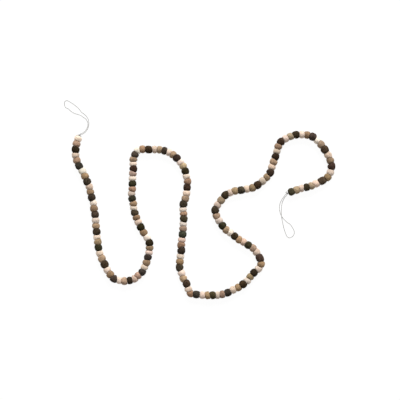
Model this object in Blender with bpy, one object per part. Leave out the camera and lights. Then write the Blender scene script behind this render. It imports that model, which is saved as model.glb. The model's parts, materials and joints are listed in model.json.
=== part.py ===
"""Felt ball garland, laid out on a flat surface in its loose waves.

Pressed wool felt balls in a repeat of cream, tan and charcoal are threaded on a white cotton string. The
string is doubled and knotted against the first and the last ball, which leaves a hanging loop at each end.
The three balls of a repeat are one solid, because the string pulls them into each other: a crease parts
them, and each ball has its own material. Metres, with the surface at z = 0.
"""

import math
import random

import bmesh
import bpy
import numpy as np
from mathutils import Matrix, Vector

MM = 0.001
UP = Vector((0, 0, 1))

# The balls: across the string, and along it as a share of the mean spacing of the balls. The faces
# between the balls, and the free ends of the first and the last one, are told by ball number.
REPEATS = 53
COLOURS = ("cream", "tan", "charcoal")
WIDTH = {"cream": 14.0 * MM, "tan": 14.4 * MM, "charcoal": 14.6 * MM}
LENGTH_SHARE = {"cream": 0.95, "tan": 0.96, "charcoal": 1.09}
FIRST_FACE = 0.52
FREE_ENDS = (0.49, 159.5)
BALLS = REPEATS * len(COLOURS)

# Hand-rolled felt is uneven: how much a ball's width, its place beside the string and its creases vary.
SEED = 159
WIDTH_VARIES = 0.03
SIDE_SHIFT = 0.6 * MM
CREASE_TILT = math.radians(9)

# A ball's rings. The place along the ball runs from -1 at its first face to 1 at its last one.
RING_SIDES = 10
BODY_RINGS = ((-0.6, 0.89), (0.0, 1.0), (0.6, 0.89))
CREASE_WIDTH = 0.62
END_WIDTH = 0.45
TOUCHING_GAP = 0.3 * MM
HALF_SIDE = math.pi / RING_SIDES
REST_HEIGHT = math.cos(HALF_SIDE)

# The lay of the string, stretch by stretch: the number of a ball, and where its middle lies in mm.
LAY = {
    "left side, down": (
        (0.3, -236, 153), (3, -243, 125), (5, -241, 104), (8, -225, 74), (12, -212, 34), (18, -203, -31),
        (21, -200, -61), (24, -188, -93),
    ),
    "first foot": ((27, -170, -120), (30, -140, -124), (33, -117, -107)),
    "second run, up": (
        (36, -106, -79), (39, -103, -52), (42, -120, -22), (48, -135.6, 32), (54, -133.6, 89), (56, -133.6, 107),
    ),
    "first crown": ((58, -125, 123), (61, -93, 125), (64, -66, 120), (69, -35, 84)),
    "third run, down": ((73, -32, 42), (75, -38, 21), (78, -37.8, -6.5), (84, -43, -67), (87, -45, -99)),
    "second foot": ((90, -33, -130), (92, -24, -148), (94, -2, -151), (98, 36, -150), (102, 75, -130)),
    "hairpin": ((105, 96, -109), (107, 109, -92), (109, 100, -70), (113, 67, -45)),
    "fourth run, up": (
        (117, 36, -19), (120, 22.5, 10), (123, 41.6, 38.2), (129, 103, 57.5), (131, 120.6, 73), (135, 136, 112),
    ),
    "second crown": ((138, 147, 140), (141, 176, 153), (144, 207, 149), (147, 230, 124.6)),
    "right side, in": ((150, 243, 93), (152, 235, 72.5), (154, 213.5, 60.3), (157, 186, 51.4), (159.9, 156.3, 41)),
}

# The string, its two knots, and the way each hanging loop takes from its knot and back to it.
STRING_WIDTH = 1.2 * MM
STRING_POINTS = 72
KNOT_LENGTH = 3.2 * MM
KNOT_WIDTH = 4.2 * MM
START_LOOP = (
    (-0.2336, 0.1531, 0.0066), (-0.2305, 0.1546, 0.0055), (-0.2262, 0.1578, 0.0032),
    (-0.2228, 0.1621, 0.0012), (-0.2201, 0.1675, 0.0007), (-0.2188, 0.1734, 0.0007),
    (-0.2190, 0.1791, 0.0007), (-0.2205, 0.1848, 0.0007), (-0.2239, 0.1895, 0.0007),
    (-0.2282, 0.1935, 0.0007), (-0.2332, 0.1973, 0.0007), (-0.2366, 0.2022, 0.0007),
    (-0.2411, 0.2066, 0.0007), (-0.2463, 0.2107, 0.0007), (-0.2521, 0.2147, 0.0007),
    (-0.2574, 0.2177, 0.0007), (-0.2614, 0.2190, 0.0007), (-0.2641, 0.2177, 0.0007),
    (-0.2654, 0.2145, 0.0007), (-0.2648, 0.2098, 0.0007), (-0.2627, 0.2056, 0.0007),
    (-0.2582, 0.2033, 0.0007), (-0.2544, 0.1999, 0.0007), (-0.2495, 0.1963, 0.0007),
    (-0.2442, 0.1938, 0.0007), (-0.2385, 0.1923, 0.0007), (-0.2332, 0.1900, 0.0007),
    (-0.2282, 0.1865, 0.0007), (-0.2239, 0.1831, 0.0007), (-0.2214, 0.1785, 0.0007),
    (-0.2205, 0.1730, 0.0007), (-0.2218, 0.1680, 0.0007), (-0.2243, 0.1628, 0.0012),
    (-0.2274, 0.1591, 0.0032), (-0.2310, 0.1563, 0.0055), (-0.2340, 0.1549, 0.0066),
)
END_LOOP = (
    (0.1566, 0.0410, 0.0068), (0.1535, 0.0368, 0.0058), (0.1497, 0.0313, 0.0034),
    (0.1462, 0.0243, 0.0012), (0.1445, 0.0167, 0.0007), (0.1447, 0.0100, 0.0013),
    (0.1465, 0.0031, 0.0020), (0.1497, -0.0033, 0.0021), (0.1542, -0.0083, 0.0013),
    (0.1598, -0.0134, 0.0007), (0.1651, -0.0171, 0.0007), (0.1689, -0.0224, 0.0007),
    (0.1718, -0.0277, 0.0007), (0.1731, -0.0325, 0.0007), (0.1716, -0.0376, 0.0007),
    (0.1678, -0.0412, 0.0007), (0.1636, -0.0427, 0.0007), (0.1594, -0.0407, 0.0007),
    (0.1568, -0.0354, 0.0007), (0.1543, -0.0287, 0.0007), (0.1524, -0.0215, 0.0007),
    (0.1505, -0.0128, 0.0007), (0.1491, -0.0043, 0.0007), (0.1481, 0.0043, 0.0007),
    (0.1485, 0.0128, 0.0007), (0.1491, 0.0205, 0.0007), (0.1512, 0.0279, 0.0014),
    (0.1548, 0.0351, 0.0046), (0.1581, 0.0392, 0.0067),
)


def material(name, colour, roughness):
    """A plain finish: felt and cotton have no shine and no metal."""
    made = bpy.data.materials.new(name)
    made.use_nodes = True
    shader = made.node_tree.nodes["Principled BSDF"]
    shader.inputs["Base Color"].default_value = (*colour, 1)
    shader.inputs["Roughness"].default_value = roughness
    shader.inputs["Metallic"].default_value = 0
    return made


def add_object(name, data, materials, collection):
    """A named object with its materials, in the garland's collection."""
    for one in materials:
        data.materials.append(one)
    made = bpy.data.objects.new(name, data)
    collection.objects.link(made)
    return made


def slopes(steps, points):
    """The slope of a smooth curve at each of its points, from the straight steps beside it."""
    gap = np.diff(steps)
    straight = np.diff(points, axis=0) / gap[:, None]
    slope = np.empty_like(points)
    slope[1:-1] = (straight[:-1] * gap[1:, None] + straight[1:] * gap[:-1, None]) / (gap[:-1] + gap[1:])[:, None]
    slope[0] = 2 * straight[0] - slope[1]
    slope[-1] = 2 * straight[-1] - slope[-2]
    return slope


def on_curve(where, steps, points):
    """The places on the smooth curve through the points: a cubic between each two of them."""
    slope = slopes(steps, points)
    first = np.clip(np.searchsorted(steps, where, side="right") - 1, 0, len(steps) - 2)
    gap = (steps[first + 1] - steps[first])[:, None]
    share = (np.asarray(where) - steps[first])[:, None] / gap
    from_first = (1 + 2 * share) * (1 - share) ** 2 * points[first]
    from_second = share ** 2 * (3 - 2 * share) * points[first + 1]
    lead = share * (1 - share) ** 2 * gap * slope[first]
    follow = share ** 2 * (1 - share) * gap * slope[first + 1]
    return from_first + from_second + lead - follow


class Lay:
    """The line through the middles of the balls, by ball number."""

    def __init__(self):
        rows = np.array([row for stretch in LAY.values() for row in stretch], dtype=float)
        self.number = rows[:, 0]
        self.middle = rows[:, 1:] * MM

    def at(self, number):
        """The place on the surface under the string, and the way the string heads there."""
        small = 0.01
        before, here, after = on_curve([number - small, number, number + small], self.number, self.middle)
        return Vector((*here, 0)), Vector((*(after - before), 0)).normalized()


class Ball:
    """One ball: its number along the string, its size, and how far it sits beside the string."""

    def __init__(self, number, draw):
        self.colour = COLOURS[(number - 1) % len(COLOURS)]
        before = (number - 1) // len(COLOURS) * len(COLOURS)
        shares = [LENGTH_SHARE[name] for name in COLOURS]
        self.first = before + FIRST_FACE + sum(shares[: number - 1 - before])
        self.last = self.first + LENGTH_SHARE[self.colour]
        if number == 1:
            self.first = FREE_ENDS[0]
        if number == BALLS:
            self.last = FREE_ENDS[1]
        self.radius = WIDTH[self.colour] / 2 * (1 + draw.uniform(-WIDTH_VARIES, WIDTH_VARIES))
        self.shift = draw.uniform(-SIDE_SHIFT, SIDE_SHIFT)
        self.tilt = draw.uniform(-CREASE_TILT, CREASE_TILT)
        self.height = self.radius * REST_HEIGHT

    def along(self, place):
        """The ball number at a place from -1 to 1 along the ball."""
        return self.first + (place + 1) / 2 * (self.last - self.first)


def ring(mesh, lay, number, radius, height, shift, tilt=0.0, setback=0.0, rests=False):
    """One ring round the string, with a side flat below, lowered on to the surface where the ball rests."""
    below, heading = lay.at(number)
    middle = below + heading * setback + UP.cross(heading) * shift + UP * height
    facing = Matrix.Rotation(tilt, 3, "Z") @ heading
    axes = Matrix((UP.cross(facing), UP, facing)).transposed().to_4x4()
    placed = Matrix.Translation(middle) @ axes @ Matrix.Rotation(HALF_SIDE, 4, "Z")
    made = bmesh.ops.create_circle(mesh, segments=RING_SIDES, radius=radius, matrix=placed)["verts"]
    if rests:
        for point in sorted(made, key=lambda one: one.co.z)[:2]:
            point.co.z = 0
    return list({edge for point in made for edge in point.link_edges})


def crease(mesh, lay, before, after, setback=0.0):
    """The ring in the crease between two balls, or at the free end of the first or the last one."""
    if before is None:
        return ring(mesh, lay, after.first, after.radius * END_WIDTH, after.height, after.shift)
    if after is None:
        return ring(mesh, lay, before.last, before.radius * END_WIDTH, before.height, before.shift)
    radius = (before.radius + after.radius) / 2 * CREASE_WIDTH
    height = (before.height + after.height) / 2
    shift = (before.shift + after.shift) / 2
    return ring(mesh, lay, before.last, radius, height, shift, before.tilt, setback)


def three_balls(lay, balls, repeat):
    """The three balls of one repeat as a single skin over rings, closed at both ends."""
    mesh = bmesh.new()
    start = repeat * len(COLOURS)
    trio = balls[start:start + len(COLOURS)]
    previous = balls[start - 1] if repeat else None
    following = balls[start + len(COLOURS)] if repeat < REPEATS - 1 else None
    last = crease(mesh, lay, previous, trio[0], setback=TOUCHING_GAP / 2)
    bmesh.ops.edgeloop_fill(mesh, edges=last, mat_nr=0)
    for colour, ball in enumerate(trio):
        rings = [
            ring(mesh, lay, ball.along(place), ball.radius * width, ball.height, ball.shift, rests=True)
            for place, width in BODY_RINGS
        ]
        if ball is trio[-1]:
            rings.append(crease(mesh, lay, ball, following, setback=-TOUCHING_GAP / 2))
        else:
            rings.append(crease(mesh, lay, ball, trio[colour + 1]))
        for one in rings:
            for face in bmesh.ops.bridge_loops(mesh, edges=last + one)["faces"]:
                face.material_index = colour
            last = one
    bmesh.ops.edgeloop_fill(mesh, edges=last, mat_nr=len(COLOURS) - 1)
    bmesh.ops.recalc_face_normals(mesh, faces=mesh.faces)
    data = bpy.data.meshes.new("three_balls")
    mesh.to_mesh(data)
    mesh.free()
    data.shade_smooth()
    return data


def knot(lay, number, height, outwards):
    """A small tight knot against the end ball, pulled wider than it is long."""
    below, heading = lay.at(number)
    middle = below + heading * outwards * (KNOT_LENGTH / 2 + TOUCHING_GAP) + UP * height
    axes = Matrix((UP.cross(heading), UP, heading)).transposed().to_4x4()
    size = Matrix.Diagonal((KNOT_WIDTH / 2, KNOT_WIDTH / 2, KNOT_LENGTH / 2, 1))
    mesh = bmesh.new()
    bmesh.ops.create_uvsphere(
        mesh, u_segments=10, v_segments=6, radius=1, matrix=Matrix.Translation(middle) @ axes @ size
    )
    data = bpy.data.meshes.new("knot")
    mesh.to_mesh(data)
    mesh.free()
    data.shade_smooth()
    return data


def string_loop(name, route):
    """A hanging loop: a round string on the smooth curve through its route."""
    points = np.array(route)
    steps = np.concatenate(([0], np.cumsum(np.linalg.norm(np.diff(points, axis=0), axis=1))))
    path = on_curve(np.linspace(0, steps[-1], STRING_POINTS), steps, points)
    data = bpy.data.curves.new(name, "CURVE")
    data.dimensions = "3D"
    data.bevel_depth = STRING_WIDTH / 2
    data.bevel_resolution = 2
    data.use_fill_caps = True
    spline = data.splines.new("POLY")
    spline.points.add(len(path) - 1)
    for point, place in zip(spline.points, path):
        point.co = (*place, 1)
    return data


def build():
    for old in list(bpy.data.objects):
        bpy.data.objects.remove(old)
    collection = bpy.data.collections.new("felt_ball_garland")
    bpy.context.scene.collection.children.link(collection)
    felts = [
        material("cream wool felt", (0.68, 0.55, 0.45), 0.95),
        material("tan wool felt", (0.30, 0.20, 0.125), 0.95),
        material("charcoal wool felt", (0.040, 0.029, 0.021), 0.95),
    ]
    cotton = material("white cotton string", (0.80, 0.78, 0.74), 0.85)

    lay = Lay()
    draw = random.Random(SEED)
    balls = [Ball(number, draw) for number in range(1, BALLS + 1)]
    for repeat in range(REPEATS):
        add_object(f"ball_trio_{repeat + 1:02d}", three_balls(lay, balls, repeat), felts, collection)

    first, last = balls[0], balls[-1]
    add_object("knot_start", knot(lay, first.first, first.height, -1), [cotton], collection)
    add_object("knot_end", knot(lay, last.last, last.height, 1), [cotton], collection)
    add_object("string_loop_start", string_loop("start loop", START_LOOP), [cotton], collection)
    add_object("string_loop_end", string_loop("end loop", END_LOOP), [cotton], collection)


build()
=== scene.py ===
"""Felt ball garland: the finish of its balls, string and knots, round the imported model."""

import json
import math
import random

import bpy
import numpy as np
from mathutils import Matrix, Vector
from mathutils.bvhtree import BVHTree

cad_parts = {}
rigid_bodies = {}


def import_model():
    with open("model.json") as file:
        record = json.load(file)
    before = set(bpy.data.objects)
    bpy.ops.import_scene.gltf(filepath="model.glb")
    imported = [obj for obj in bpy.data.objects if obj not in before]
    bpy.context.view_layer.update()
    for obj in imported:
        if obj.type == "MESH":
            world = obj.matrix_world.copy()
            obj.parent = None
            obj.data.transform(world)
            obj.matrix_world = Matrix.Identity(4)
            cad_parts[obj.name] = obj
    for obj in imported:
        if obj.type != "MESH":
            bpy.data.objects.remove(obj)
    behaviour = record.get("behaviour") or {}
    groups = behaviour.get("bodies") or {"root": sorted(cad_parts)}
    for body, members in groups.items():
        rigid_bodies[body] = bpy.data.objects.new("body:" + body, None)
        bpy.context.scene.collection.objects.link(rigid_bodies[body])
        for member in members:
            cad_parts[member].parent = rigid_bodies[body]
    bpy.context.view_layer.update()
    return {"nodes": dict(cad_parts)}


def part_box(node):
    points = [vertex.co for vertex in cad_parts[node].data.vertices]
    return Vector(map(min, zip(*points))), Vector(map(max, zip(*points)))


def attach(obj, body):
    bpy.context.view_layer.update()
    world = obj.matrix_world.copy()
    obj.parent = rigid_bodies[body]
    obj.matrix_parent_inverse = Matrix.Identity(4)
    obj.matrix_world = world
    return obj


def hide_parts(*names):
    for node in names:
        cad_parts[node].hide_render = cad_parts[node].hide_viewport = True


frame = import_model()

# The camera looks straight down at the garland, as in the photograph.
# The picture is square, and its middle lies a little up and to the left of the middle of the balls' box.
MM = 0.001
PICTURE_WIDTH = 760 * MM
PICTURE_MIDDLE = (-6.9 * MM, 29.4 * MM)
LENS = 85
SENSOR = 36
BALL_MIDDLE = 7 * MM
FARTHEST_SEEN = 20

for old in [one for one in bpy.data.objects if one.type in ("CAMERA", "LIGHT")]:
    bpy.data.objects.remove(old)
camera = bpy.data.objects.new("camera", bpy.data.cameras.new("camera"))
camera.data.lens = LENS
camera.data.sensor_width = SENSOR
camera.data.clip_end = FARTHEST_SEEN
camera.location = (*PICTURE_MIDDLE, BALL_MIDDLE + PICTURE_WIDTH * LENS / SENSOR)
bpy.context.scene.collection.objects.link(camera)
bpy.context.scene.camera = camera

# The string: white cotton, three plies twisted together, doubled into a hanging loop past each end ball.
# Each loop is one length of string that leaves the knot, lies on the surface and comes back to the knot.
STRING_WIDTH = 1.2 * MM
PLIES = 3
PLY_DEPTH = 0.26
TWIST_LENGTH = 3.4 * MM
STEPS_A_TWIST = 12
STRING_SIDES = 18
LOOP_POINTS = 400
INTO_KNOT = 0.45
COTTON_CLOUD = 2.5 * MM
COTTON_FIBRE = 0.4 * MM
COTTON_BUMP = 0.08 * MM
COTTON_FINENESS = 3.0
CLOUD_SHARE = 0.5
FIBRE_SHARE = 0.7
# How far painted shade darkens the string's colour in the grooves between its plies.
GROOVE_SHADE_SHARE = 0.9

# The string's way round each loop, from the knot and back to it: X, Y and height in metres.
START_LOOP = (
    (-0.2336, 0.1531, 0.0066), (-0.2305, 0.1546, 0.0055), (-0.2262, 0.1578, 0.0032),
    (-0.2228, 0.1621, 0.0012), (-0.2201, 0.1675, 0.0007), (-0.2188, 0.1734, 0.0007),
    (-0.2190, 0.1791, 0.0007), (-0.2205, 0.1848, 0.0007), (-0.2239, 0.1895, 0.0007),
    (-0.2282, 0.1935, 0.0007), (-0.2332, 0.1973, 0.0007), (-0.2366, 0.2022, 0.0007),
    (-0.2411, 0.2066, 0.0007), (-0.2463, 0.2107, 0.0007), (-0.2521, 0.2147, 0.0007),
    (-0.2574, 0.2177, 0.0007), (-0.2614, 0.2190, 0.0007), (-0.2641, 0.2177, 0.0007),
    (-0.2654, 0.2145, 0.0007), (-0.2648, 0.2098, 0.0007), (-0.2627, 0.2056, 0.0007),
    (-0.2582, 0.2033, 0.0007), (-0.2544, 0.1999, 0.0007), (-0.2495, 0.1963, 0.0007),
    (-0.2442, 0.1938, 0.0007), (-0.2385, 0.1923, 0.0007), (-0.2332, 0.1900, 0.0007),
    (-0.2282, 0.1865, 0.0007), (-0.2239, 0.1831, 0.0007), (-0.2214, 0.1785, 0.0007),
    (-0.2205, 0.1730, 0.0007), (-0.2218, 0.1680, 0.0007), (-0.2243, 0.1628, 0.0012),
    (-0.2274, 0.1591, 0.0032), (-0.2310, 0.1563, 0.0055), (-0.2340, 0.1549, 0.0066),
)
END_LOOP = (
    (0.1566, 0.0410, 0.0068), (0.1535, 0.0368, 0.0058), (0.1497, 0.0313, 0.0034),
    (0.1462, 0.0243, 0.0012), (0.1445, 0.0167, 0.0007), (0.1447, 0.0100, 0.0013),
    (0.1465, 0.0031, 0.0020), (0.1497, -0.0033, 0.0021), (0.1542, -0.0083, 0.0013),
    (0.1598, -0.0134, 0.0007), (0.1651, -0.0171, 0.0007), (0.1689, -0.0224, 0.0007),
    (0.1718, -0.0277, 0.0007), (0.1731, -0.0325, 0.0007), (0.1716, -0.0376, 0.0007),
    (0.1678, -0.0412, 0.0007), (0.1636, -0.0427, 0.0007), (0.1594, -0.0407, 0.0007),
    (0.1568, -0.0354, 0.0007), (0.1543, -0.0287, 0.0007), (0.1524, -0.0215, 0.0007),
    (0.1505, -0.0128, 0.0007), (0.1491, -0.0043, 0.0007), (0.1481, 0.0043, 0.0007),
    (0.1485, 0.0128, 0.0007), (0.1491, 0.0205, 0.0007), (0.1512, 0.0279, 0.0014),
    (0.1548, 0.0351, 0.0046), (0.1581, 0.0392, 0.0067),
)


def slopes(steps, points):
    """The slope of a smooth curve at each of its points, from the straight steps beside it."""
    gap = np.diff(steps)
    straight = np.diff(points, axis=0) / gap[:, None]
    slope = np.empty_like(points)
    before, after = gap[:-1, None], gap[1:, None]
    slope[1:-1] = (straight[:-1] * after + straight[1:] * before) / (before + after)
    slope[0] = 2 * straight[0] - slope[1]
    slope[-1] = 2 * straight[-1] - slope[-2]
    return slope


def on_curve(where, steps, points):
    """The places on the smooth curve through the points: a cubic between each two of them."""
    slope = slopes(steps, points)
    first = np.clip(np.searchsorted(steps, where, side="right") - 1, 0, len(steps) - 2)
    gap = (steps[first + 1] - steps[first])[:, None]
    share = (np.asarray(where) - steps[first])[:, None] / gap
    from_first = (1 + 2 * share) * (1 - share) ** 2 * points[first]
    from_second = share ** 2 * (3 - 2 * share) * points[first + 1]
    lead = share * (1 - share) ** 2 * gap * slope[first]
    follow = share ** 2 * (1 - share) * gap * slope[first + 1]
    return from_first + from_second + lead - follow


def smooth_way(route, count):
    """Evenly spaced points on the smooth curve through a route, and the curve's length."""
    points = np.array(route)
    steps = np.concatenate(([0], np.cumsum(np.linalg.norm(np.diff(points, axis=0), axis=1))))
    way = on_curve(np.linspace(0, steps[-1], count), steps, points)
    return way, float(np.linalg.norm(np.diff(way, axis=0), axis=1).sum())


class Socket:
    """A node's output, on which sums are written: each operator adds the node that works it out."""

    def __init__(self, nodes, socket):
        self.nodes = nodes
        self.socket = socket
        self.vector = socket.type in ("VECTOR", "RGBA")

    def worked(self, operation, first, second=0.0):
        """A Math node, or a Vector Math node where either side is a vector."""
        vectors = [one for one in (first, second) if isinstance(one, tuple) or getattr(one, "vector", False)]
        if not vectors:
            return self.nodes.add("ShaderNodeMath", {"operation": operation}, {0: first, 1: second})
        if operation == "MULTIPLY" and len(vectors) == 1:
            number = second if first is vectors[0] else first
            return self.nodes.add(
                "ShaderNodeVectorMath", {"operation": "SCALE"}, {0: vectors[0], "Scale": number}
            )
        return self.nodes.add("ShaderNodeVectorMath", {"operation": operation}, {0: first, 1: second})

    def __add__(self, other):
        return self.worked("ADD", self, other)

    def __radd__(self, other):
        return self.worked("ADD", other, self)

    def __sub__(self, other):
        return self.worked("SUBTRACT", self, other)

    def __rsub__(self, other):
        return self.worked("SUBTRACT", other, self)

    def __mul__(self, other):
        return self.worked("MULTIPLY", self, other)

    def __rmul__(self, other):
        return self.worked("MULTIPLY", other, self)

    def __truediv__(self, other):
        return self.worked("DIVIDE", self, other)

    def __rtruediv__(self, other):
        return self.worked("DIVIDE", other, self)

    def __pow__(self, other):
        return self.worked("POWER", self, other)

    def __lt__(self, other):
        return self.worked("LESS_THAN", self, other)

    def __gt__(self, other):
        return self.worked("GREATER_THAN", self, other)

    def __abs__(self):
        return self.worked("ABSOLUTE", self)

    def dot(self, other):
        return self.worked("DOT_PRODUCT", self, other)

    def cross(self, other):
        return self.worked("CROSS_PRODUCT", self, other)

    def at_least(self, other):
        return self.worked("MAXIMUM", self, other)


class Nodes:
    """The nodes of one tree. add() makes any node, with its settings first and then what its sockets hold."""

    def __init__(self, tree):
        self.tree = tree

    def add(self, kind, settings=None, values=None, output=None):
        node = self.tree.nodes.new(kind)
        for name, value in (settings or {}).items():
            setattr(node, name, value)
        for name, value in (values or {}).items():
            into = self.named(node.inputs, name)
            if isinstance(value, Socket):
                self.tree.links.new(value.socket, into)
            else:
                into.default_value = value
        outputs = [one for one in node.outputs if one.enabled and output in (None, one.name)]
        return Socket(self, outputs[0]) if outputs else node

    @staticmethod
    def named(sockets, name):
        if isinstance(name, int):
            return sockets[name]
        return next(one for one in sockets if one.enabled and one.name == name)

    def fact(self, name, kind="FLOAT"):
        """What the mesh keeps under that name on each of its points."""
        return self.add("GeometryNodeInputNamedAttribute", {"data_type": kind}, {"Name": name})

    def keep(self, geometry, name, value):
        """The same geometry with a number kept under that name on each of its points."""
        return self.add(
            "GeometryNodeStoreNamedAttribute", {"data_type": "FLOAT"},
            {"Geometry": geometry, "Name": name, "Value": value},
        )

    def noise(self, place, size, detail=2.0, distortion=0.0, seed=0.0):
        """Soft noise from 0 to 1 with lumps of that size in metres."""
        return self.add(
            "ShaderNodeTexNoise",
            {"noise_dimensions": "4D"},
            {"Vector": place, "W": seed, "Scale": 1 / size, "Detail": detail, "Distortion": distortion},
            output="Fac",
        )

    def blend(self, share, first, second):
        """A colour between two colours."""
        return self.add(
            "ShaderNodeMix", {"data_type": "RGBA"}, {"Factor": share, 6: first, 7: second}
        )


class GrownShape(Nodes):
    """A Geometry Nodes tree with named inputs, which ends in real geometry with one material."""

    def __init__(self, name, **inputs):
        super().__init__(bpy.data.node_groups.new(name, "GeometryNodeTree"))
        kinds = {int: "NodeSocketInt", float: "NodeSocketFloat", bpy.types.Material: "NodeSocketMaterial"}
        face = self.tree.interface
        face.new_socket("Geometry", in_out="INPUT", socket_type="NodeSocketGeometry")
        face.new_socket("Geometry", in_out="OUTPUT", socket_type="NodeSocketGeometry")
        self.ids = {}
        for label, kind in inputs.items():
            title = label.replace("_", " ").capitalize()
            self.ids[label] = face.new_socket(title, in_out="INPUT", socket_type=kinds[kind]).identifier
        given = self.tree.nodes.new("NodeGroupInput")
        self.geometry = Socket(self, given.outputs["Geometry"])
        self.given = {
            label: Socket(self, given.outputs[label.replace("_", " ").capitalize()]) for label in inputs
        }

    def end(self, shape, material):
        shape = self.add("GeometryNodeSetShadeSmooth", {}, {"Geometry": shape})
        shape = self.add("GeometryNodeRealizeInstances", {}, {"Geometry": shape})
        shape = self.add("GeometryNodeSetMaterial", {}, {"Geometry": shape, "Material": material})
        self.add("NodeGroupOutput", {}, {"Geometry": shape})

    def grow(self, name, base, **values):
        """A new object whose plain mesh is what the tree makes of the base mesh."""
        piece = bpy.data.objects.new(name, base)
        bpy.context.scene.collection.objects.link(piece)
        modifier = piece.modifiers.new(name, "NODES")
        modifier.node_group = self.tree
        for label, value in values.items():
            modifier[self.ids[label]] = value
        depsgraph = bpy.context.evaluated_depsgraph_get()
        grown = bpy.data.meshes.new_from_object(piece.evaluated_get(depsgraph), depsgraph=depsgraph)
        piece.modifiers.clear()
        piece.data = grown
        grown.name = name
        return piece


def lines(name, ways, facts=None):
    """A mesh of open lines, one for each list of points, with facts kept on the points."""
    places = np.concatenate(ways)
    starts = np.cumsum([0] + [len(way) for way in ways])
    edges = [(i, i + 1) for a, b in zip(starts[:-1], starts[1:]) for i in range(a, b - 1)]
    mesh = bpy.data.meshes.new(name)
    mesh.from_pydata(places.tolist(), edges, [])
    for label, value in (facts or {}).items():
        value = np.asarray(value, dtype=np.float32)
        kind, key = ("FLOAT_VECTOR", "vector") if value.ndim == 2 else ("FLOAT", "value")
        mesh.attributes.new(label, kind, "POINT").data.foreach_set(key, value.ravel())
    return mesh


def twisted_string_tree():
    """A string of several plies that wind round each other along each line."""
    tree = GrownShape(
        "twisted string", width=float, plies=int, ply_depth=float, twist_length=float,
        step_length=float, sides=int, cotton=bpy.types.Material,
    )
    given = tree.given
    line = tree.add("GeometryNodeMeshToCurve", {}, {"Mesh": tree.geometry})
    line = tree.add(
        "GeometryNodeResampleCurve", {"mode": "LENGTH"}, {"Curve": line, "Length": given["step_length"]}
    )
    run = tree.add("GeometryNodeSplineParameter", output="Length")
    line = tree.add(
        "GeometryNodeSetCurveTilt", {}, {"Curve": line, "Tilt": run / given["twist_length"] * math.tau}
    )
    ring = tree.add("GeometryNodeCurvePrimitiveCircle", {}, {"Resolution": given["sides"], "Radius": 0.5})
    place = tree.add("GeometryNodeInputPosition")
    parts = tree.tree.nodes.new("ShaderNodeSeparateXYZ")
    tree.tree.links.new(place.socket, parts.inputs[0])
    across, along = (Socket(tree, parts.outputs[label]) for label in ("X", "Y"))
    angle = across.worked("ARCTAN2", along, across)
    lobe = abs(angle.worked("COSINE", angle * given["plies"] / 2))
    ring = tree.add(
        "GeometryNodeSetPosition", {},
        {"Geometry": ring, "Position": place * (1 - given["ply_depth"] * (1 - lobe))},
    )
    # The groove between the plies, kept for the cotton's bumps and for the painted shade in its colour.
    ring = tree.keep(ring, "groove", 1 - lobe)
    skin = tree.add(
        "GeometryNodeCurveToMesh", {},
        {"Curve": line, "Profile Curve": ring, "Scale": given["width"], "Fill Caps": True},
    )
    tree.end(skin, given["cotton"])
    return tree


def cotton(name, pale, deep):
    """Soft-spun cotton: matt, off-white, with painted shade between its plies and fine fibres along the
    twist.
    """
    made = bpy.data.materials.new(name)
    made.use_nodes = True
    made.node_tree.nodes.clear()
    nodes = Nodes(made.node_tree)
    place = nodes.add("ShaderNodeTexCoord", output="Object")
    groove = nodes.add("ShaderNodeAttribute", {"attribute_name": "groove"}, output="Fac")
    cloud = nodes.noise(place, COTTON_CLOUD, detail=3.0)
    fibre = 1 - abs(nodes.noise(place, COTTON_FIBRE, detail=3.0, distortion=1.2) * 2 - 1)
    # The groove term paints shade into the colour between the plies.
    tone_less_groove_shade = cloud * CLOUD_SHARE + fibre ** COTTON_FINENESS * FIBRE_SHARE - groove * GROOVE_SHADE_SHARE
    colour = nodes.blend(tone_less_groove_shade, (*deep, 1), (*pale, 1))
    bump = nodes.add(
        "ShaderNodeBump", {}, {"Strength": 0.6, "Distance": COTTON_BUMP, "Height": fibre - groove}
    )
    shader = nodes.add(
        "ShaderNodeBsdfPrincipled", {},
        {
            "Base Color": colour, "Roughness": 0.9, "Specular IOR Level": 0.25, "Sheen Weight": 0.2,
            "Normal": bump,
        },
    )
    nodes.add("ShaderNodeOutputMaterial", {}, {"Surface": shader})
    return made


white_cotton = cotton("white cotton string", pale=(0.62, 0.61, 0.58), deep=(0.33, 0.32, 0.305))
twisted = twisted_string_tree()
STRING_SHAPE = {
    "width": STRING_WIDTH, "plies": PLIES, "ply_depth": PLY_DEPTH, "twist_length": TWIST_LENGTH,
    "step_length": TWIST_LENGTH / STEPS_A_TWIST, "sides": STRING_SIDES, "cotton": white_cotton,
}
loops = {}
for end, route in (("start", START_LOOP), ("end", END_LOOP)):
    knot_middle = sum(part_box(f"knot_{end}"), Vector()) / 2
    inside = [tuple(knot_middle.lerp(Vector(point), INTO_KNOT)) for point in (route[0], route[-1])]
    way, length = smooth_way((inside[0], *route, inside[1]), LOOP_POINTS)
    loop = twisted.grow(f"cotton_loop_{end}", lines(f"loop line {end}", [way]), **STRING_SHAPE)
    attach(loop, "root")
    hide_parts(f"string_loop_{end}")
    loops[end] = (loop, way, length)

# The knots: the doubled string is tied in an overhand knot and drawn tight against the end ball.
# Each is a wound lump of the same string, painted greyer for the shade inside the tight knot, with a lead
# into the ball and short cut
# tails: four at the start, laid against the first ball, and two at the end.
UP = Vector((0, 0, 1))
KNOT_STRING = 1.1 * MM
KNOT_POINTS = 121
KNOT_ROUNDS = 2
KNOT_WEAVES = 3
WEAVE_DEPTH = 0.55
KNOT_FACING = {"start": (0.39, 0.92, 0.0), "end": (-0.93, -0.36, 0.0)}

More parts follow.
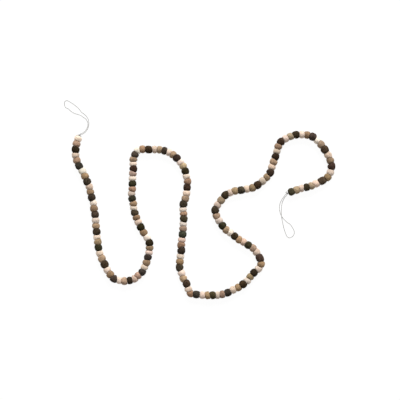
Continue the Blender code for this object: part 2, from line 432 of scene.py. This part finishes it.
# Where the cut ends of the tails lie, in mm from the middle of their knot.
TAILS = {
    "start": ((-6.2, -1.6, 1.4), (-5.6, -1.3, -0.4), (3.4, -3.4, 1.2), (3.5, -3.2, -0.6)),
    "end": ((-1.4, 4.0, -1.9), (-3.2, 2.3, -2.4)),
}
END_BALLS = {"start": "ball_trio_01", "end": "ball_trio_53"}
TAIL_POINTS = 10
TAIL_START = 0.25
TAIL_SAG = 0.4 * MM
TAIL_OFF_FELT = 0.7 * MM
INTO_BALL = 3.4 * MM


def laid_on(skin, points):
    """The points of a tail, moved off the felt where they would sink into it."""
    laid = []
    for point in points:
        nearest, normal, _, _ = skin.find_nearest(Vector(point))
        sunk = TAIL_OFF_FELT - (Vector(point) - nearest).dot(normal)
        laid.append(point + max(sunk, 0) * np.array(normal))
    return np.array(laid)


# The knots' string is painted darker than the loops' string, for the shade inside the dense bundle of the
# knot.
shaded_knot_cotton = cotton("knot cotton with painted shade", pale=(0.44, 0.43, 0.40), deep=(0.22, 0.21, 0.195))
for end, (loop, way, length) in loops.items():
    low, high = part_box(f"knot_{end}")
    middle = np.array((low + high) / 2)
    tall = (high.z - low.z) / 2 - KNOT_STRING / 2
    outwards = np.array(Vector(KNOT_FACING[end]).normalized())
    sideways = np.cross(outwards, UP)
    turn = np.linspace(0, math.tau, KNOT_POINTS)[:, None]
    ring = (2 + np.cos(KNOT_WEAVES * turn)) / 3 * tall
    wound = (
        middle
        + ring * np.cos(KNOT_ROUNDS * turn) * sideways
        + ring * np.sin(KNOT_ROUNDS * turn) * np.array(UP)
        + np.sin(KNOT_WEAVES * turn) * KNOT_STRING * WEAVE_DEPTH * outwards
    )
    share = np.linspace(0, 1, TAIL_POINTS)[:, None]
    ball = frame["nodes"][END_BALLS[end]].data
    skin = BVHTree.FromPolygons(
        [spot.co for spot in ball.vertices], [face.vertices for face in ball.polygons]
    )
    tails = [
        laid_on(
            skin,
            middle + (TAIL_START + (1 - TAIL_START) * share) * np.array(tail) * MM
            - share ** 2 * TAIL_SAG * np.array(UP),
        )
        for tail in TAILS[end]
    ]
    into_ball = middle - share * INTO_BALL * outwards
    shape = dict(STRING_SHAPE, width=KNOT_STRING, cotton=shaded_knot_cotton)
    knot_lines = lines(f"knot line {end}", [wound, *tails, into_ball])
    knot = twisted.grow(f"cotton_knot_{end}", knot_lines, **shape)
    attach(knot, "root")
    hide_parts(f"knot_{end}")

# The felt balls: wool wound and rolled wet into a firm ball, pierced, threaded and pushed up tight.
# The balls flatten each other where they meet and rest on a small flat spot; each is a little uneven.
REPEATS = 53
COLOURS = ("cream", "tan", "charcoal")
WIDTH = {"cream": 14.0 * MM, "tan": 14.4 * MM, "charcoal": 14.6 * MM}
LENGTH_SHARE = {"cream": 0.95, "tan": 0.96, "charcoal": 1.09}
FIRST_FACE = 0.52
FREE_ENDS = (0.49, 159.5)
BALLS = REPEATS * len(COLOURS)
SEED = 159
WIDTH_VARIES = 0.03
SIDE_SHIFT = 0.6 * MM
CREASE_TILT = math.radians(9)
REST_SHARE = math.cos(math.pi / 10)

# How the row of balls lies: each point is a place along it, counted in balls, and its X and Y in mm.
LAY = {
    "left side, down": (
        (0.3, -236, 153), (3, -243, 125), (5, -241, 104), (8, -225, 74), (12, -212, 34), (18, -203, -31),
        (21, -200, -61), (24, -188, -93),
    ),
    "first foot": ((27, -170, -120), (30, -140, -124), (33, -117, -107)),
    "second run, up": (
        (36, -106, -79), (39, -103, -52), (42, -120, -22), (48, -135.6, 32), (54, -133.6, 89),
        (56, -133.6, 107),
    ),
    "first crown": ((58, -125, 123), (61, -93, 125), (64, -66, 120), (69, -35, 84)),
    "third run, down": ((73, -32, 42), (75, -38, 21), (78, -37.8, -6.5), (84, -43, -67), (87, -45, -99)),
    "second foot": ((90, -33, -130), (92, -24, -148), (94, -2, -151), (98, 36, -150), (102, 75, -130)),
    "hairpin": ((105, 96, -109), (107, 109, -92), (109, 100, -70), (113, 67, -45)),
    "fourth run, up": (
        (117, 36, -19), (120, 22.5, 10), (123, 41.6, 38.2), (129, 103, 57.5), (131, 120.6, 73),
        (135, 136, 112),
    ),
    "second crown": ((138, 147, 140), (141, 176, 153), (144, 207, 149), (147, 230, 124.6)),
    "right side, in": (
        (150, 243, 93), (152, 235, 72.5), (154, 213.5, 60.3), (157, 186, 51.4), (159.9, 156.3, 41),
    ),
}
LAY_ROWS = np.array([row for stretch in LAY.values() for row in stretch], dtype=float)

# The shades of the wool. Each ball is from its own pinch of carded wool, so it is lighter or deeper than
# the mean, redder or yellower, and greener or pinker, each by about this share of its red, green and blue.
MOST_STRAY = 2
WOOL = {
    "cream": {
        "mean": (0.768, 0.612, 0.488),
        "ways": ((0.134, 0.165, 0.19), (0.037, 0.0, -0.027), (-0.009, 0.013, -0.009)),
    },
    "tan": {
        "mean": (0.3295, 0.2225, 0.1372),
        "ways": ((0.142, 0.162, 0.21), (0.042, 0.02, -0.046), (-0.022, 0.027, -0.008)),
    },
    "charcoal": {
        "mean": (0.0392, 0.0287, 0.0175),
        "ways": ((0.215, 0.26, 0.35), (0.084, 0.028, -0.078), (-0.045, 0.07, -0.024)),
    },
}

# How a ball is rounded: rings along it, sides round it, and how far its creases and free ends close.
BALL_RINGS = 30
BALL_SIDES = 56
FULLNESS = 2.1
CREASE_RIM = 0.60
FREE_RIM = 0.12
CREASE_GAP = 0.05 * MM
LOOSE_FELT = 0.2 * MM
SHORT_STEP = 0.01

# How late towards its ends a ball leans with its creases, meets its neighbour's middle, loses its lumps
# and draws back from the crease.
LEANS_FROM = 3
MEETS_FROM = 4
SMOOTH_FROM = 8.0
DRAWN_BACK_FROM = 9

# The felt's lumps, dents and grain, and the height of the flat spots above the surface.
UNEVEN = {
    "lump_height": 1.1 * MM, "lump_size": 9.0 * MM, "dent_height": 0.85 * MM, "dent_size": 3.2 * MM,
    "grain_height": 0.12 * MM, "grain_size": 1.4 * MM, "surface": 0.1 * MM,
}
NO_LIMIT = -9.0


class Ball:
    """One ball: its number along the string, its size, and how far it sits beside the string."""

    def __init__(self, number, draw, wool_draw):
        self.number = number
        self.colour = COLOURS[(number - 1) % len(COLOURS)]
        before = (number - 1) // len(COLOURS) * len(COLOURS)
        shares = [LENGTH_SHARE[name] for name in COLOURS]
        self.first = before + FIRST_FACE + sum(shares[: number - 1 - before])
        self.last = self.first + LENGTH_SHARE[self.colour]
        if number == 1:
            self.first = FREE_ENDS[0]
        if number == BALLS:
            self.last = FREE_ENDS[1]
        self.radius = WIDTH[self.colour] / 2 * (1 + draw.uniform(-WIDTH_VARIES, WIDTH_VARIES))
        self.shift = draw.uniform(-SIDE_SHIFT, SIDE_SHIFT)
        self.tilt = draw.uniform(-CREASE_TILT, CREASE_TILT)
        self.height = self.radius * REST_SHARE
        wool = WOOL[self.colour]
        spread = sum(
            min(max(wool_draw.gauss(0, 1), -MOST_STRAY), MOST_STRAY) * np.array(way) for way in wool["ways"]
        )
        self.wool = np.array(wool["mean"]) * np.exp(spread)

    def rings(self, before, after):
        """The line through the ball, with what each of its rings needs to know."""
        sweep = np.linspace(-math.pi / 2, math.pi / 2, BALL_RINGS)
        place = np.sign(np.sin(sweep)) * np.abs(np.sin(sweep)) ** (2 / FULLNESS)
        number = self.first + (place + 1) / 2 * (self.last - self.first)
        middles = [
            on_curve(number + step, LAY_ROWS[:, 0], LAY_ROWS[:, 1:] * MM)
            for step in (-SHORT_STEP, 0, SHORT_STEP)
        ]
        heading = middles[2] - middles[0]
        heading = heading / np.linalg.norm(heading, axis=1)[:, None]
        side = np.stack([-heading[:, 1], heading[:, 0], 0 * place], axis=1)
        ends = np.abs(place) ** MEETS_FROM
        nearby = [one or self for one in (before, after)]
        shift, height = (
            getattr(self, fact)
            + ends * np.where(place < 0, getattr(nearby[0], fact), getattr(nearby[1], fact)) / 2
            - ends * getattr(self, fact) / 2
            for fact in ("shift", "height")
        )
        line = np.concatenate([middles[1], height[:, None]], axis=1)
        apart = np.pad(heading, ((0, 0), (0, 1))) * (place ** DRAWN_BACK_FROM * CREASE_GAP)[:, None]
        line = line + side * shift[:, None] - apart
        lean = np.where(place < 0, before.tilt if before else 0, self.tilt if after else 0)
        free = np.where(place < 0, before is None, after is None)
        return {
            "line": line,
            "side": side,
            "place": place,
            "across": np.full(BALL_RINGS, self.radius + LOOSE_FELT),
            "lean": np.tan(lean) * np.abs(place) ** LEANS_FROM,
            "rim": np.where(free, FREE_RIM, CREASE_RIM),
            "wool": np.tile(self.wool, (BALL_RINGS, 1)),
        }


def felt_ball_tree():
    """Round balls on their lines, closed in the creases, leaning with them, lumpy, and flat below."""
    tree = GrownShape(
        "felt balls", sides=int, fullness=float, lump_height=float, lump_size=float, dent_height=float,
        dent_size=float, grain_height=float, grain_size=float, surface=float, seed=float,
        felt=bpy.types.Material,
    )
    given = tree.given
    place = tree.fact("place")
    rim = tree.fact("rim")
    bulge = (1 - abs(place) ** given["fullness"]).at_least(0.0) ** (1 / given["fullness"])
    line = tree.add("GeometryNodeMeshToCurve", {}, {"Mesh": tree.geometry})
    ring = tree.add("GeometryNodeCurvePrimitiveCircle", {}, {"Resolution": given["sides"], "Radius": 1.0})
    skin = tree.add(
        "GeometryNodeCurveToMesh", {},
        {
            "Curve": line, "Profile Curve": ring, "Fill Caps": True,
            "Scale": tree.fact("across") * (rim + (1 - rim) * bulge),
        },
    )
    here = tree.add("GeometryNodeInputPosition")
    side = tree.fact("side", "FLOAT_VECTOR")
    beside = (here - tree.fact("middle", "FLOAT_VECTOR")).dot(side)
    lean = side.cross(tuple(UP)) * (beside * tree.fact("lean") * -1.0)
    skin = tree.add("GeometryNodeSetPosition", {}, {"Geometry": skin, "Offset": lean})
    normal = tree.add("GeometryNodeInputNormal")
    swell = 0.0
    for name in ("lump", "dent", "grain"):
        wave = tree.noise(here, 1.0, detail=1.0, seed=given["seed"])
        scale = wave.socket.node.inputs["Scale"]
        tree.tree.links.new((1 / given[f"{name}_size"]).socket, scale)
        swell = (wave - 0.5) * given[f"{name}_height"] + swell
    open_side = 1 - abs(place) ** SMOOTH_FROM
    skin = tree.add(
        "GeometryNodeSetPosition", {}, {"Geometry": skin, "Offset": normal * (swell * open_side)}
    )
    floor = tree.add("ShaderNodeCombineXYZ", {}, {"X": NO_LIMIT, "Y": NO_LIMIT, "Z": given["surface"]})
    skin = tree.add(
        "GeometryNodeSetPosition", {}, {"Geometry": skin, "Position": here.at_least(floor)}
    )
    tree.end(skin, given["felt"])
    return tree


# The felt's finish: patches and clouds of tone, three sizes of strands, each with its twist and seed, whose
# lighter colour is partly lighter fibres and partly painted glint, and a fine fuzz over all.
PATCH_SIZE = 5.0 * MM
CLOUD_SIZE = 1.8 * MM
FUZZ_SIZE = 0.2 * MM
STRANDS = ((1.6 * MM, 2.4, 1.0), (1.0 * MM, 2.0, 2.0), (0.6 * MM, 1.6, 3.0))
STRAND_FINENESS = 14.0
STRAND_WEIGHT = 0.4
STRAND_RELIEF = 0.8
FUZZ_SHARE = 0.3
PLAIN_SHARE = 0.755
DARKEST_SHARE = 0.15
FELT_BUMP = 0.11 * MM
FINISH = {
    "cream": {"clouding": 0.8, "streaks_and_glint": 0.25, "sheen": 0.3},
    "tan": {"clouding": 1.3, "streaks_and_glint": 0.6, "sheen": 0.06},
    "charcoal": {"clouding": 2.4, "streaks_and_glint": 1.4, "sheen": 0.0},
}


def felt(name, clouding, streaks_and_glint, sheen):
    """Pressed wool: matt and cloudy, with a tangle of fine fibres that shows in its bumps, and in its colour
    as lighter fibres and painted glint.
    """
    made = bpy.data.materials.new(name)
    made.use_nodes = True
    made.node_tree.nodes.clear()
    nodes = Nodes(made.node_tree)
    place = nodes.add("ShaderNodeTexCoord", output="Object")
    wool = nodes.add("ShaderNodeAttribute", {"attribute_name": "wool"}, output="Vector")
    patches = nodes.noise(place, PATCH_SIZE, detail=2.0, distortion=0.8)
    cloud = nodes.noise(place, CLOUD_SIZE, detail=3.0, distortion=1.2)
    strands = 0.0
    for size, twist, seed in STRANDS:
        ridge = 1 - abs(nodes.noise(place, size, detail=0.0, distortion=twist, seed=seed) * 2 - 1)
        strands = ridge ** STRAND_FINENESS * STRAND_WEIGHT + strands
    fuzz = nodes.noise(place, FUZZ_SIZE, detail=3.0)
    heather = (patches + cloud - 1) * clouding
    # The strands lighten the colour: partly lighter fibres, partly painted glint.
    tone = heather + (fuzz * FUZZ_SHARE + PLAIN_SHARE) + strands * streaks_and_glint
    colour = wool * tone.at_least(DARKEST_SHARE)
    bump = nodes.add(
        "ShaderNodeBump", {},
        {"Strength": 0.7, "Distance": FELT_BUMP, "Height": strands * STRAND_RELIEF + fuzz},
    )
    shader = nodes.add(
        "ShaderNodeBsdfPrincipled", {},
        {
            "Base Color": colour, "Roughness": 0.96, "Specular IOR Level": 0.04, "Normal": bump,
            "Sheen Weight": sheen, "Sheen Roughness": 0.55,
        },
    )
    nodes.add("ShaderNodeOutputMaterial", {}, {"Surface": shader})
    return made


draw, wool_draw = random.Random(SEED), random.Random(SEED + 1)
balls = [Ball(number, draw, wool_draw) for number in range(1, BALLS + 1)]
felts = {colour: felt(f"{colour} wool felt", **FINISH[colour]) for colour in COLOURS}
ball_tree = felt_ball_tree()
nodes_of_balls = [f"ball_trio_{repeat + 1:02d}" for repeat in range(REPEATS)]
felt_balls = {}
for order, colour in enumerate(COLOURS):
    rings = [
        ball.rings(before, after)
        for before, ball, after in zip([None, *balls], balls, [*balls[1:], None]) if ball.colour == colour
    ]
    facts = {
        label: np.concatenate([one[label] for one in rings])
        for label in ("side", "place", "across", "lean", "rim", "wool")
    }
    facts["middle"] = np.concatenate([one["line"] for one in rings])
    base = lines(f"{colour} ball lines", [one["line"] for one in rings], facts)
    piece = ball_tree.grow(
        f"{colour}_felt_balls", base, sides=BALL_SIDES, fullness=FULLNESS, seed=float(order),
        felt=felts[colour], **UNEVEN,
    )
    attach(piece, "root")
    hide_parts(*nodes_of_balls)
    felt_balls[colour] = piece

# The loose fibres: ends of the balls' own wool that stand off the felt and blur its edge.
# None stands in the creases or under the balls, where the felt is pressed flat.
FIBRES_A_SQUARE_METRE = 530000.0
LOWEST_FIBRE = 2.5 * MM
FIBRE_LENGTH = 1.15 * MM
FIBRE_WIDTH = 0.05 * MM
FIBRE_BENDS = 2
FIBRE_SIDES = 3
FIBRE_CURVE = {
    "Start": (0, 0, -0.06), "Start Handle": (0.25, 0, 0.16), "End Handle": (0.6, 0.22, 0.26),
    "End": (1, 0.4, 0.14),
}
FIBRE_TAPER = 0.7
SHORTEST_SHARE = 0.45
LONGEST_SHARE = 1.6
MOST_LIFT = 1.1
SELDOM_LIFTED = 3.0
CREASE_FROM = 0.93
LIFT_SEED = 7
SIZE_SEED = 13


def fibre_tree():
    """Thin curved fibres rooted in the felt, each turned and sized at random."""
    tree = GrownShape(
        "felt fibres", density=float, fibre_length=float, fibre_width=float, seed=int,
        felt=bpy.types.Material,
    )
    given = tree.given
    spots = tree.tree.nodes.new("GeometryNodeDistributePointsOnFaces")
    tree.tree.links.new(tree.geometry.socket, spots.inputs["Mesh"])
    height = tree.add("GeometryNodeInputPosition").dot(tuple(UP))
    rooted = (abs(tree.fact("place")) < CREASE_FROM) * (height > LOWEST_FIBRE)
    tree.tree.links.new(rooted.socket, spots.inputs["Selection"])
    tree.tree.links.new(given["density"].socket, Nodes.named(spots.inputs, "Density"))
    tree.tree.links.new(given["seed"].socket, Nodes.named(spots.inputs, "Seed"))
    points, facing = (Socket(tree, spots.outputs[label]) for label in ("Points", "Rotation"))
    bend = tree.add(
        "GeometryNodeCurvePrimitiveBezierSegment", {}, {"Resolution": FIBRE_BENDS, **FIBRE_CURVE}
    )
    taper = 1 - tree.add("GeometryNodeSplineParameter", output="Factor") * FIBRE_TAPER
    thread = tree.add(
        "GeometryNodeCurvePrimitiveCircle", {},
        {"Resolution": FIBRE_SIDES, "Radius": given["fibre_width"] / given["fibre_length"] / 2},
    )
    fibre = tree.add(
        "GeometryNodeCurveToMesh", {},
        {"Curve": bend, "Profile Curve": thread, "Scale": taper, "Fill Caps": True},
    )
    spin = tree.add(
        "FunctionNodeRandomValue", {"data_type": "FLOAT"}, {2: 0.0, 3: math.tau, "Seed": given["seed"]}
    )
    lift = tree.add(
        "FunctionNodeRandomValue", {"data_type": "FLOAT"},
        {2: 0.0, 3: 1.0, "Seed": given["seed"] + LIFT_SEED},
    )
    turned = facing
    for axis, angle in (((0, 0, 1), spin), ((0, 1, 0), lift ** SELDOM_LIFTED * -MOST_LIFT)):
        turn = tree.add("FunctionNodeAxisAngleToRotation", {}, {"Axis": axis, "Angle": angle})
        turned = tree.add(
            "FunctionNodeRotateRotation", {"rotation_space": "LOCAL"}, {"Rotation": turned, "Rotate By": turn}
        )
    scale = tree.add(
        "FunctionNodeRandomValue", {"data_type": "FLOAT"},
        {2: SHORTEST_SHARE, 3: LONGEST_SHARE, "Seed": given["seed"] + SIZE_SEED},
    )
    grown = tree.add(
        "GeometryNodeInstanceOnPoints", {},
        {"Points": points, "Instance": fibre, "Rotation": turned, "Scale": scale * given["fibre_length"]},
    )
    tree.end(grown, given["felt"])
    return tree


loose_fibres = fibre_tree()
for order, colour in enumerate(COLOURS):
    fibres = loose_fibres.grow(
        f"{colour}_felt_fibres", felt_balls[colour].data, density=FIBRES_A_SQUARE_METRE,
        fibre_length=FIBRE_LENGTH, fibre_width=FIBRE_WIDTH, seed=order, felt=felts[colour],
    )
    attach(fibres, "root")
    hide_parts(*nodes_of_balls)

# The studio: a wide pale surface that is lit from within, as a light table is, so that the shadows on it
# stay faint, a soft light from the top of the picture, and a pale room all round.
FLOOR_SIZE = 60.0
FLOOR_GLOW = 0.95
FLOOR_GREY = 0.09
floor_mesh = bpy.data.meshes.new("floor")
floor_mesh.from_pydata(
    [(x * FLOOR_SIZE / 2, y * FLOOR_SIZE / 2, 0) for x, y in ((-1, -1), (1, -1), (1, 1), (-1, 1))],
    [], [(0, 1, 2, 3)],
)
floor = bpy.data.objects.new("floor", floor_mesh)
bpy.context.scene.collection.objects.link(floor)
pale = bpy.data.materials.new("pale floor")
pale.use_nodes = True
surface = pale.node_tree.nodes["Principled BSDF"].inputs
surface["Base Color"].default_value = (FLOOR_GREY, FLOOR_GREY, FLOOR_GREY, 1)
surface["Roughness"].default_value = 1.0
surface["Specular IOR Level"].default_value = 0.0
surface["Emission Color"].default_value = (1, 1, 1, 1)
surface["Emission Strength"].default_value = FLOOR_GLOW
floor_mesh.materials.append(pale)

KEY_PLACE = (0.8, 5.1, 3.1)
KEY_SIZE = 2.6
KEY_POWER = 450
ROOM_GLOW = 0.33
key = bpy.data.objects.new("key", bpy.data.lights.new("key", "AREA"))
key.data.size = KEY_SIZE
key.data.energy = KEY_POWER
key.location = KEY_PLACE
key.rotation_euler = (-Vector(KEY_PLACE)).to_track_quat("-Z", "Y").to_euler()
bpy.context.scene.collection.objects.link(key)
room = bpy.data.worlds.new("pale room")
room.use_nodes = True
room.node_tree.nodes["Background"].inputs["Color"].default_value = (1, 1, 1, 1)
room.node_tree.nodes["Background"].inputs["Strength"].default_value = ROOM_GLOW
bpy.context.scene.world = room
bpy.context.scene.view_settings.view_transform = "Standard"
